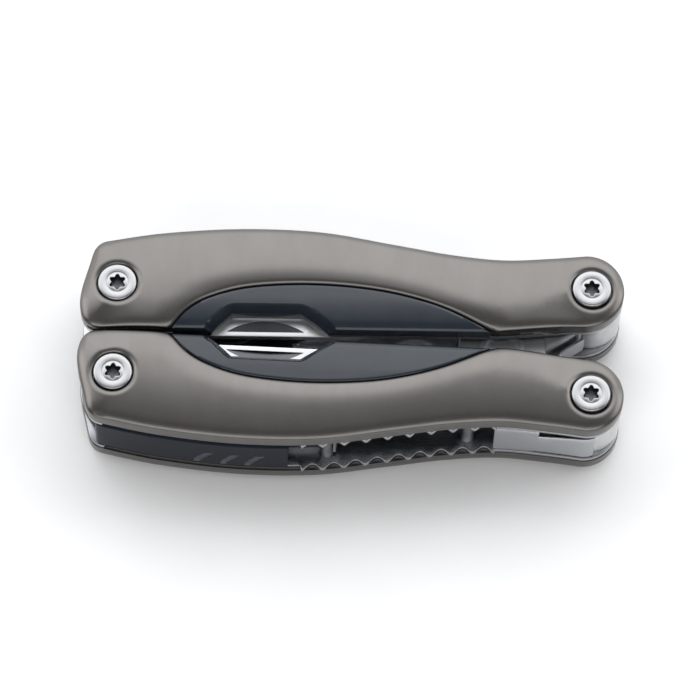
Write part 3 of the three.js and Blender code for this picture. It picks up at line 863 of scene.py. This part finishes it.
def lever_warp(co):
    """Three slanted grip cuts in the lower half of the outer face."""
    x, y, z = co[:, 0], co[:, 1], co[:, 2]
    depth = np.zeros(len(co))
    for gx in GRIPS:
        across = (x - gx - GRIP_LEAN * (z - GRIP_Z)) * 0.85
        groove = np.clip(1 - (across / 0.6) ** 2, 0, 1) ** 0.6
        reach = np.clip((2.1 - np.abs(z - GRIP_Z)) / 0.4, 0, 1)
        depth = np.maximum(depth, groove * reach)
    co[:, 1] = y - np.where(y > outer_at(x) - EDGE_INSET - 1.0, 0.75 * depth, 0)
    return co


def mirrored(profile):
    """The profile of a turned piece, from its lower half."""
    return profile + [(r, THICKNESS - z) for r, z in profile[::-1]]


def build_lever(handle):
    turn = in_handle(handle)
    lever = slab(
        handle + "_lock_lever_body", lever_loop(), flat_top(16.1, 0.6), flat_bottom(5.9, 0.5), turn,
        rings=(0.06, 0.16, 0.3, 0.46, 0.8), spacing=0.3, grid=1.6,
        holes=[circle(*LEVER_PIN, 1.4, 24)], levels=34, warp=lever_warp, sharp=50.0,
    )
    finish_piece(lever, handle + "_lever", "lock_lever", LEVER, handle + "_lock_lever")
    body = handle + "_handle"
    profile = mirrored([(0.02, PIN_END_Z), (1.1, PIN_END_Z), (1.25, PIN_END_Z + 0.15)])
    pin = lathe(handle + "_lock_lever_rivet", profile, turn, LEVER_PIN, sides=32)
    finish_piece(pin, body, "fastener", SCREW, handle + "_lock_lever_pin")
    line = catmull(
        [(-48.3, 9.1), (-48.05, 7.7), (-49, 6.5), (-50.9, 6.2), (-57.5, 6.7), (-65, 7.2)], 60
    )
    spring = strip(handle + "_lock_spring_leaf", line, 0.45, 8.0, 14.0, turn)
    spring.data.materials.append(SPRING)
    root, tip = (tuple(TO_METRES @ turn @ Vector((x, 7, 11))) for x in (-49.5, -57.0))
    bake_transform(spring)
    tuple(root)
    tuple(tip)
    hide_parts(handle + "_lock_spring")


def strip(name, line, thickness, z0, z1, transform):
    """A leaf of sheet metal standing on edge along a line."""
    along = np.gradient(line, axis=0)
    along /= np.linalg.norm(along, axis=1)[:, None]
    across = np.stack([-along[:, 1], along[:, 0]], 1) * thickness / 2
    loop = np.concatenate([line + across, (line - across)[::-1]])
    top, bottom = flat_top(z1, 0.1), flat_bottom(z0, 0.1)
    return slab(name, loop, top, bottom, transform, rings=(0.1,), grid=0)


def build_stop_plate(handle):
    """The folded web in the handle's back: a plate with stepped edges, bent to the handle's curve."""
    x0, x1 = -17.98, 1.38
    loop = [
        (x0, 6.02), (-10.3, 6.02), (-9.9, 6.52), (x1, 6.52),
        (x1, 15.35), (-9.32, 13.7), (-9.32, 16.25), (x0, 16.25),
    ]
    sheet = 0.8

    def bend(co):
        x, z, depth = co[:, 0].copy(), co[:, 1].copy(), co[:, 2].copy()
        y = outer_at(x) - EDGE_INSET - sheet / 2 + depth
        return np.column_stack([x, y, z])

    top, bottom = flat_top(sheet / 2, 0.3), flat_bottom(-sheet / 2, 0.2)
    plate = slab(
        handle + "_stop_plate_web", loop, top, bottom, in_handle(handle),
        rings=(0.05, 0.14, 0.3), warp=bend,
    )
    plate.data.flip_normals()
    finish_piece(plate, handle + "_handle", "liner_steel", LINER, handle + "_stop_plate")


def build_posts(handle):
    body, turn = handle + "_handle", in_handle(handle)
    ends = [(0.02, PIN_END_Z), (0.8, PIN_END_Z), (0.8, 5.77), (1.15, 5.77), (1.3, 5.92)]
    profile = mirrored(ends)
    for i, at in enumerate(STANDOFFS):
        node = f"{handle}_standoff_{i + 1}"
        post = lathe(node + "_post", profile, turn, at, sides=40)
        finish_piece(post, body, "fastener", POST, node)
    for end, at in zip(("plier", "tool"), PINS):
        node = f"{handle}_{end}_axle"
        sleeve = pipe(node + "_sleeve", 1.66, 2.6, 4.6, 17.4, turn, at=at)
        finish_piece(sleeve, body, "fastener", SCREW, node)


# ---- fold-out tools
SPINE_Y = -8.7
EDGE_ROUND = 0.12
LAYERS = {
    "low": (5.8, 7.4),
    "high": (14.6, 16.2),
    "thick": (8.4, 13.6),
    "mid_low": (8.0, 10.4),
    "mid_high": (11.6, 14.0),
}
ROOT_LOW, ROOT_HIGH = (3.4, -5.3), (3.6, 5.17)  # where a tool runs into its round tang


def around_tang(*outline):
    """A tool's outline from its lower root, along the given points, and round its tang."""
    a0 = math.degrees(math.atan2(ROOT_HIGH[1], ROOT_HIGH[0]))
    a1 = 360 + math.degrees(math.atan2(ROOT_LOW[1], ROOT_LOW[0]))
    ring = arc(0, 0, TANG_R, TANG_R, a0, a1, 60)
    notch = [(-1.3, -6.15), (-1.3, -5.0), (1.3, -5.0), (1.3, -6.15)]
    angle = np.degrees(np.arctan2(ring[:, 1], ring[:, 0])) % 360
    roots = [[ROOT_LOW], *outline, [ROOT_HIGH]]
    return clean(np.concatenate([*roots, ring[angle < 258], notch, ring[angle > 282]]))


def blade_loop(*outline):
    """The outline of a blade with a straight spine."""
    return around_tang([(8, SPINE_Y), (25, SPINE_Y)], *outline)


NICK_X, NICK_CHORD, NICK_SAG = 28.5, 15.0, 2.3
NICK_FLAT = SPINE_Y + 0.9
NICK_R = (NICK_CHORD**2 / 4 + NICK_SAG**2) / (2 * NICK_SAG)
NICK_Y = NICK_FLAT + NICK_SAG - NICK_R


def tool(name, loop, layer, handle, top=None, bottom=None, material=None, **more):
    """A fold-out tool. The bright blades have a nail nick, whose floor gets painted shade."""
    z0, z1 = LAYERS[layer]
    turn = in_handle(handle) @ Matrix.Translation((-PIN_SPAN, 0, 0))
    top = top or flat_top(z1 - TOOL_FIT, EDGE_ROUND)
    bottom = bottom or flat_bottom(z0 + TOOL_FIT, EDGE_ROUND)
    look = {"rings": (0.05, 0.13, 0.4), "spacing": 0.5, "holes": [circle(0, 0, BORE_R, 36)], **more}
    obj = slab(name + "_forged", loop, top, bottom, turn, **look)
    nick_shade_faces = []
    # Faces on the nail nick's floor get the painted recess shade.
    if material is None:
        local = (TO_METRES @ turn).inverted()
        for face in obj.data.polygons:
            x, y, z = local @ (face.center + obj.location)
            inside = math.hypot(x - NICK_X, y - NICK_Y) < NICK_R - 0.03 and y > NICK_FLAT - 0.02
            if inside and z > z1 - 0.9:
                nick_shade_faces.append(face.index)
    steel = material or BLADE
    finish_piece(obj, name, "tool_steel", steel, name, second=RECESS_SHADE, second_faces=nick_shade_faces)


def blade_faces(layer, edge_line, width, dip=None):
    """Two faces ground towards the cutting edge, and a nail nick cut in the upper one."""
    z0, z1 = LAYERS[layer]
    middle = (z0 + z1) / 2
    half = (z1 - z0) / 2 - TOOL_FIT
    line = np.array(edge_line, float)

    def ground(xy):
        d = edge_distance(xy, line, closed=False)
        return half * np.clip(0.08 + 0.92 * (d / width), 0, 1)

    def top(xy, gap):
        z = middle + ground(xy)
        if dip is not None:
            z -= dip(xy)
        return z - rounded(gap, EDGE_ROUND) * (ground(xy) > half * 0.5)

    def bottom(xy, gap):
        return middle - ground(xy) + rounded(gap, EDGE_ROUND) * (ground(xy) > half * 0.5)

    return top, bottom


def nick_depth(xy):
    """The crescent thumb nick beside the spine: its floor falls from the arc to the straight side."""
    r = np.hypot(xy[:, 0] - NICK_X, xy[:, 1] - NICK_Y)
    inside = np.clip((NICK_R - r) / 0.06, 0, 1)
    above = np.clip((xy[:, 1] - NICK_FLAT + 0.01) / 0.06, 0, 1)
    fall = np.clip((NICK_R - r) / NICK_SAG, 0, 1)
    return (0.12 + 0.5 * fall) * inside * above


def nick_points():
    """Rows of points round the nick so that its edge is crisp."""
    half = math.degrees(math.asin(NICK_CHORD / 2 / NICK_R))
    rows = []
    for d in (0.0, 0.07, 0.5, 1.1, 1.7):
        r = NICK_R - d
        angles = np.radians(np.linspace(90 - half, 90 + half, 70))
        row = np.column_stack([NICK_X + r * np.cos(angles), NICK_Y + r * np.sin(angles)])
        rows.append(row[row[:, 1] > NICK_FLAT + 0.1])
    xs = np.linspace(NICK_X - NICK_CHORD / 2, NICK_X + NICK_CHORD / 2, 70)
    rows += [np.column_stack([xs, np.full(70, NICK_FLAT + y)]) for y in (-0.01, 0.06)]
    return np.concatenate(rows)


def build_knife():
    edge = catmull([(54.8, -3.9), (51.5, -0.2), (46.5, 2.6), (40, 4), (28, 4.35), (16.5, 4.4)], 60)
    tip = catmull([(43.5, SPINE_Y), (49.5, -7.3), (55, -4.1)], 20)
    choil = arc(14.4, 4.4, 1.5, 1.5, 0, -180, 14)
    loop = blade_loop(tip, edge, choil, [(11.8, 4.9)])
    top, bottom = blade_faces("high", edge, 7.2, nick_depth)
    tool("knife_blade", loop, "high", "front", top, bottom, grid=0.9, extra=nick_points())


def build_file():
    edge = catmull([(54, -4.4), (53, -1), (48.5, 1), (30, 1.9), (16, 2.6)], 40)
    tip = catmull([(46, SPINE_Y), (51.5, -7), (54, -4.4)], 16)
    loop = blade_loop(tip, edge[1:], [(12, 4.9)])
    plain_top = flat_top(LAYERS["high"][1] - TOOL_FIT, EDGE_ROUND)

    def cuts(xy):
        x, y = xy[:, 0], xy[:, 1]
        area = (x > 18) & (x < 50) & (y > -5.2) & (y < 1.2)
        return np.where(area, 0.06, 0)

    def top(xy, gap):
        return plain_top(xy, gap) - nick_depth(xy) - cuts(xy)

    tool("file_blade", loop, "high", "back", top, grid=0.9, extra=nick_points())


def build_saw():
    pitch = 2.4
    teeth = []
    for i in range(14):
        x, y = 50.6 - i * pitch, 1.2 + i * 0.1
        teeth += [(x, y + 1.7), (x - pitch * 0.5, y)]
    tip = catmull([(45, SPINE_Y), (52.4, -5.6), (53, -1.5)], 16)
    loop = blade_loop(tip, teeth, [(16, 3), (12, 4.9)])
    tool("wood_saw", loop, "low", "front", material=SHADED_TOOL)


def build_serrated():
    pitch = 4.4
    scallops = []
    for i in range(7):
        x = 47 - i * pitch
        scallops += list(arc(x - pitch / 2, 3.9, pitch / 2 - 0.15, 1.6, 0, -180, 12))
    tip = catmull([(42, SPINE_Y), (48.5, -6.6), (53.5, -1.6)], 16)
    loop = blade_loop(tip, [(51.5, 1.2), *scallops, (15.6, 3.2), (12, 4.9)])
    line = np.array([(53.5, -1.6), (50, 2.9), (16, 3.6)])
    top, bottom = blade_faces("low", line, 4.2)
    tool("serrated_blade", loop, "low", "back", top, bottom, material=SHADED_TOOL, grid=1.4)


def drawn_in(layer, edge, depth):
    """Two faces with rounded edges, both lowered by what depth gives."""
    z0, z1 = LAYERS[layer]
    top, bottom = flat_top(z1 - TOOL_FIT, edge), flat_bottom(z0 + TOOL_FIT, edge)
    return (
        lambda xy, gap: top(xy, gap) - depth(xy),
        lambda xy, gap: bottom(xy, gap) + depth(xy),
    )


def build_can_opener():
    hook = [(26.9, -1.5), (25.2, 1.6), (22.6, 3.4)]
    loop = around_tang(
        [(8, -7.8), (24, -7.8), (27, -6.2), (31, -6.2), (31, -3.4), (27.2, -3.4)],
        catmull(hook, 10),
        catmull([(21, 1.8), (21.8, -1), (19.4, -2), (16, 0.6), (12, 4.4)], 24),
    )
    ground = np.array([hook[0], hook[-1]])

    def tip(xy):
        return 0.7 * np.clip((xy[:, 0] - 26) / 5, 0, 1)

    drawn_top, bottom = drawn_in("mid_low", 0.2, tip)

    def top(xy, gap):
        near = np.clip(1 - edge_distance(xy, ground, closed=False) / 2.2, 0, 1)
        return drawn_top(xy, gap) - 0.9 * near * (xy[:, 1] > -1.8)

    tool("can_opener", loop, "mid_low", "back", top, bottom, material=SHADED_TOOL, grid=1.0)


def build_bottle_opener():
    loop = around_tang(
        [(8, -7.8), (19, -7.8), (30.6, -6.9), (31.4, -6.2), (31.4, -1.6)],
        catmull([(30.4, -0.6), (27.6, -0.2), (27, 2.4), (24.8, 4.4)], 20),
        catmull([(22.4, 3.2), (23, 0.2), (20.6, -2.6), (17.2, -1.8), (15.6, 2.4), (12, 4.6)], 30),
    )

    def tip(xy):
        return 0.75 * np.clip((xy[:, 0] - 25) / 6.4, 0, 1) * (xy[:, 1] < 0)

    top, bottom = drawn_in("mid_high", 0.22, tip)
    tool("bottle_opener", loop, "mid_high", "back", top, bottom, material=SHADED_TOOL, grid=1.0)


def build_phillips():
    """A flat tang that runs into a round shank with a four-flute tip."""
    z0, z1 = LAYERS["thick"]
    middle, axis_y, shank = (z0 + z1) / 2, -4.0, 2.45
    outline = [
        (7, -7.4), (12, -6.45), (25.4, axis_y - shank), (31, axis_y - 0.9), (31, axis_y + 0.9),
        (25.4, axis_y + shank), (14.5, axis_y + shank), (12.5, -0.4), (10, 3.4),
    ]

    def half(xy, gap):
        x, y = xy[:, 0], xy[:, 1]
        radius = np.interp(x, [25.4, 31], [shank, 0.9])
        across = np.clip(np.abs(y - axis_y) / radius, 0, 1)
        round_part = radius * np.sqrt(np.maximum(1 - across**2, 0))
        flute = np.clip((x - 24.8) / 1.2, 0, 1) * np.exp(-(((across - 0.62) / 0.24) ** 2))
        round_part = round_part * (1 - 0.55 * flute)
        flat_part = (z1 - z0) / 2 - TOOL_FIT - rounded(gap, 0.3)
        share = np.clip((x - 11.5) / 2.5, 0, 1)
        return flat_part * (1 - share) + round_part * share

    tool(
        "phillips_driver", around_tang(outline), "thick", "front",
        lambda xy, gap: middle + half(xy, gap), lambda xy, gap: middle - half(xy, gap),
        material=SHADED_TOOL, rings=(0.04, 0.12, 0.25, 0.45, 0.75, 1.1, 1.6), spacing=0.35, grid=0.7,
    )


def build_washers(handle, layers):
    turn = in_handle(handle)
    for i, (a, b) in enumerate(zip(layers, layers[1:])):
        z0, z1 = LAYERS[a][1] + 0.05, LAYERS[b][0] - 0.05
        node = f"{handle}_washer_{i + 1}"
        ring = pipe(node + "_ring", BORE_R, 4.6, z0, z1, turn, at=PINS[1], edge=0.06)
        finish_piece(ring, handle + "_handle", "fastener", SCREW, node)


# ---- plier head
NOSE_Z = (8.1, 13.9)
ARM_Z = (6.3, 15.7)
DISC_R = 8.5


def plier_loop():
    """The front half seen from above, about the jaw pivot, with its jaw on the far side."""
    tang = np.array([PLIER_PIN[0] - JAW_PIN[0], -PLIER_PIN[1]])
    angle = math.atan2(tang[1], tang[0])

    def along(d, w):
        return (
            d * math.cos(angle) - w * math.sin(angle),
            d * math.sin(angle) + w * math.cos(angle),
        )

    xs = np.linspace(-8.6, -40, 150)
    face = np.full(len(xs), 0.07)
    teeth = (xs < -21) & (xs > -38.5)
    face = np.where(teeth, 0.07 + 0.42 * np.abs(((xs / 1.25) % 1) - 0.5) * 2, face)
    pipe_grip = (xs < -13.2) & (xs > -20.2)
    face = np.where(pipe_grip, 0.07 + 1.5 * np.sin(math.pi * (xs + 20.2) / 7.0), face)
    inner = np.column_stack([xs, face])
    back = catmull([(-40.2, 1), (-39.4, 1.9), (-31, 3.6), (-20, 5.6), (-12, 7.3), (-7.6, 7.6)], 40)
    disc_end = math.degrees(math.atan2(7.6, -7.6))
    disc = arc(0, 0, DISC_R, DISC_R, disc_end, math.degrees(angle) + 33, 30)
    tang_ring = arc(*tang, 6.2, 6.2, math.degrees(angle) + 137, math.degrees(angle) - 137, 50)
    low_disc = arc(0, 0, DISC_R, DISC_R, math.degrees(angle) - 34, -180, 30)
    loop = [*inner, *back, *disc, along(12, 4.5), *tang_ring, along(12, -4.9), *low_disc]
    return clean(np.array(loop)), tang


def plier_half(name, transform, body, node):
    loop, tang = plier_loop()
    middle = (NOSE_Z[0] + NOSE_Z[1]) / 2

    def part_of(xy):
        """0 on the disc, 1 on the nose, 2 on the arm."""
        r = np.hypot(xy[:, 0], xy[:, 1])
        return np.where(r < DISC_R + 0.02, 0, np.where(xy[:, 0] < 0, 1, 2))

    def nose(xy, gap):
        """Half the nose's thickness, rounded along its back."""
        taper = np.interp(-xy[:, 0], [9, 40], [NOSE_Z[1] - middle, 1.7])
        outer = np.clip(1 - gap / 1.6, 0, 1) * (xy[:, 1] > 1.2)
        return taper - 0.9 * outer**2

    def top(xy, gap):
        kind = part_of(xy)
        disc = np.full(len(xy), middle - 0.05)
        arm = ARM_Z[1] - rounded(gap, 0.7)
        return np.select([kind == 0, kind == 1], [disc, middle + nose(xy, gap)], arm)

    def bottom(xy, gap):
        kind = part_of(xy)
        disc = 6.5 + rounded(gap, 0.4)
        arm = ARM_Z[0] + rounded(gap, 0.7)
        return np.select([kind == 0, kind == 1], [disc, middle - nose(xy, gap)], arm)

    rows = (DISC_R - 0.02, DISC_R + 0.04, 6.4, 4.4)
    obj = slab(
        name, loop, top, bottom, transform,
        rings=(0.08, 0.2, 0.4, 0.7, 1.1, 1.6), spacing=0.4, grid=1.2,
        holes=[circle(0, 0, 2.6, 40), circle(*tang, BORE_R, 40)], levels=3,
        extra=np.concatenate([circle(0, 0, r, 72) for r in rows]),
    )
    finish_piece(obj, body, "plier_steel", PLIER, node)


def build_plier():
    plier_half("front_plier_half_forged", JAW, "front_plier", "front_plier_half")
    turn_over = MIRROR_Y @ FLIP_Z
    plier_half("back_plier_half_forged", turn_over @ JAW, "back_plier", "back_plier_half")
    profile = [
        (0.02, 6.15), (2.3, 6.15), (2.42, 6.3), (2.42, 15.6), (4.2, 15.6), (4.3, 15.68),
        (4.28, 15.85), (4.0, 15.94), (3.1, 15.95), (3.0, 15.88), (2.0, 15.86), (0.02, 15.86),
    ]
    bolt = lathe("plier_pivot_bolt_turned", profile, JAW, (0, 0), sides=64)
    finish_piece(bolt, "front_plier", "plier_steel", PLIER, "plier_pivot_bolt")
    nut = pipe("plier_pivot_nut_turned", 2.55, 4.3, 6.05, 6.4, JAW, edge=0.08)
    finish_piece(nut, "front_plier", "plier_steel", PLIER, "plier_pivot_nut")
    arm = [(15.8, -3.77), (13.4, -2.15), (11.9, -0.95)]
    line = catmull([*arm, (11.3, 0), *[(x, -y) for x, y in arm[::-1]]], 60)
    spring = strip("plier_spring_leaf", line, 0.5, 8.4, 13.6, JAW)
    finish_piece(spring, "front_plier", "spring_steel", SPRING, "plier_spring")


for handle_name in HANDLES:
    build_covers(handle_name)
    build_screws(handle_name)
    build_lever(handle_name)
    build_stop_plate(handle_name)
    build_posts(handle_name)
build_knife()
build_file()
build_saw()
build_serrated()
build_can_opener()
build_bottle_opener()
build_phillips()
build_washers("front", ["low", "thick", "high"])
build_washers("back", ["low", "mid_low", "mid_high", "high"])
build_plier()


# ---- table, light and camera
def build_table():
    size = 1.2
    mesh = bpy.data.meshes.new("table_top")
    mesh.from_pydata(
        [(-size, -size, 0), (size, -size, 0), (size, size, 0), (-size, size, 0)], [], [(0, 1, 2, 3)]
    )
    table = bpy.data.objects.new("table_top", mesh)
    bpy.context.scene.collection.objects.link(table)
    material, tree, shader = nodes_of("pale_table")
    fine = noise(tree, stretched(tree), 60, 3.0)
    link(tree, ramp(tree, fine, (0.85, 0.85, 0.85), (0.87, 0.87, 0.87)), shader.inputs["Base Color"])
    shader.inputs["Roughness"].default_value = 0.8
    mesh.materials.append(material)


def area_light(name, place, target, size, energy):
    data = bpy.data.lights.new(name, "AREA")
    data.shape = "RECTANGLE"
    data.size, data.size_y = size
    data.energy = energy
    light = bpy.data.objects.new(name, data)
    light.location = place
    light.rotation_euler = (Vector(target) - Vector(place)).to_track_quat("-Z", "Y").to_euler()
    bpy.context.scene.collection.objects.link(light)


def build_lights():
    world = bpy.data.worlds.new("studio")
    bpy.context.scene.world = world
    world.use_nodes = True
    tree = world.node_tree
    sky = tree.nodes["Background"]
    direction = tree.nodes.new("ShaderNodeTexCoord")
    split = tree.nodes.new("ShaderNodeSeparateXYZ")
    rise = tree.nodes.new("ShaderNodeMapRange")
    rise.interpolation_type = "SMOOTHSTEP"
    for socket, value in (("From Min", 0.0), ("From Max", 0.42), ("To Min", 0.27), ("To Max", 1.6)):
        rise.inputs[socket].default_value = value
    tree.links.new(direction.outputs["Generated"], split.inputs["Vector"])
    tree.links.new(split.outputs["Y"], rise.inputs["Value"])
    tree.links.new(rise.outputs["Result"], sky.inputs["Strength"])
    sky.inputs["Color"].default_value = (0.97, 0.98, 1.0, 1)
    area_light("overhead_panel", (0, 0.85, 0.9), (0, 0, 0), (1.8, 1.0), 6.0)
    area_light("front_panel", (0, -0.9, 0.75), (0, 0, 0), (1.6, 0.6), 5.5)
    for side in (-1, 1):
        area_light(f"side_panel_{side + 1}", (side * 1.15, 0.2, 0.8), (0, 0, 0), (0.8, 0.8), 4.0)
    bpy.context.scene.view_settings.view_transform = "Standard"


def build_camera():
    elevation, distance, roll = math.radians(67), 0.9, math.radians(1.729)
    aim = Vector((-0.000317, -0.003477, 0.0215))
    data = bpy.data.cameras.new("photo_camera")
    data.lens = 242.9
    data.sensor_width = 36
    data.clip_start = 0.01
    camera = bpy.data.objects.new("photo_camera", data)
    back = Vector((0, -math.cos(elevation), math.sin(elevation)))
    camera.location = aim + back * distance
    facing = back.to_track_quat("Z", "Y").to_matrix().to_4x4()
    camera.rotation_euler = (facing @ Matrix.Rotation(roll, 4, "Z")).to_euler()
    bpy.context.scene.collection.objects.link(camera)
    bpy.context.scene.camera = camera


build_table()
build_lights()
build_camera()
